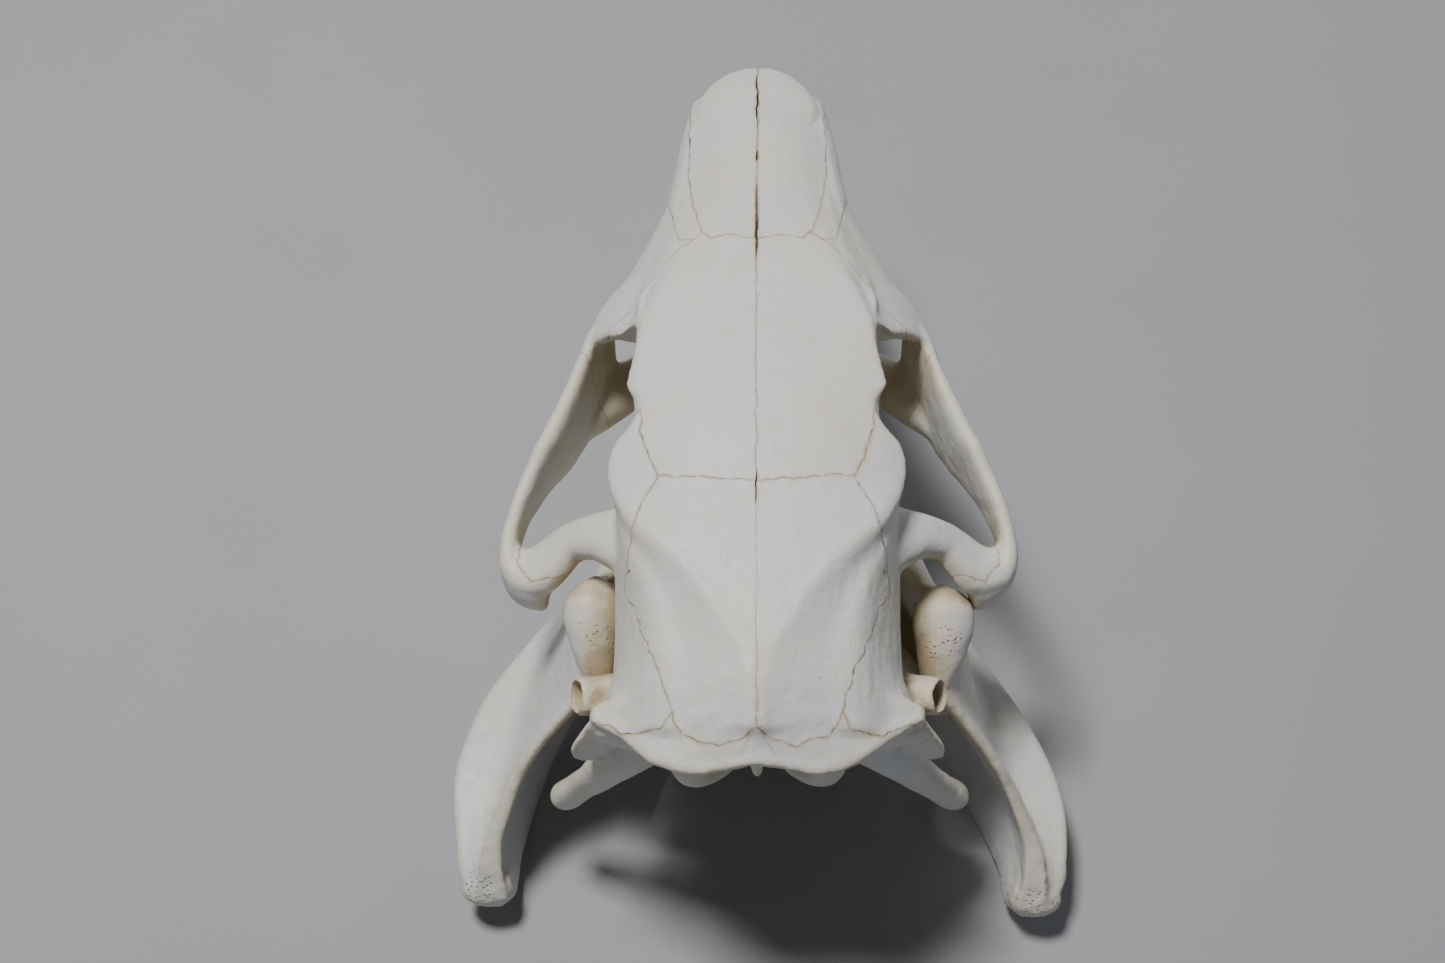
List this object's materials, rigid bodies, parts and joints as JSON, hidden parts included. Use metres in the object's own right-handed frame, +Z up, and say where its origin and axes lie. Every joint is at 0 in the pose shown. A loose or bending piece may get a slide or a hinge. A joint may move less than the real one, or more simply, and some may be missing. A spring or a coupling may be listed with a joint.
{
  "type": "capybara skull",
  "caption": "Life-size skull of a large rodent with its lower jaw, resting on the floor on the jaw's lower edges.",
  "frame": {"origin": "centre of the bounding box in plan, on the floor that the lower jaw rests on", "axes": "+Y along the jaw towards the snout, +X to the animal's right side, +Z up"},
  "size_m": [0.1545, 0.2062, 0.1174],
  "materials": {
    "bone": "dry cleaned bone, matt to satin",
    "enamel": "worn tooth enamel, satin"
  },
  "bodies": {
    "root": {"bulla_left": "bone", "bulla_right": "bone", "frontal_left": "bone", "frontal_right": "bone", "jugal_left": "bone", "jugal_right": "bone", "lower_incisor_left": "enamel", "lower_incisor_right": "enamel", "mandible_left": "bone", "mandible_right": "bone", "maxilla_left": "bone", "maxilla_right": "bone", "nasal_left": "bone", "nasal_right": "bone", "occipital": "bone", "parietal_left": "bone", "parietal_right": "bone", "premaxilla_left": "bone", "premaxilla_right": "bone", "skull_base": "bone", "squamosal_left": "bone", "squamosal_right": "bone", "upper_incisor_left": "enamel", "upper_incisor_right": "enamel"}
  },
  "joints": []
}
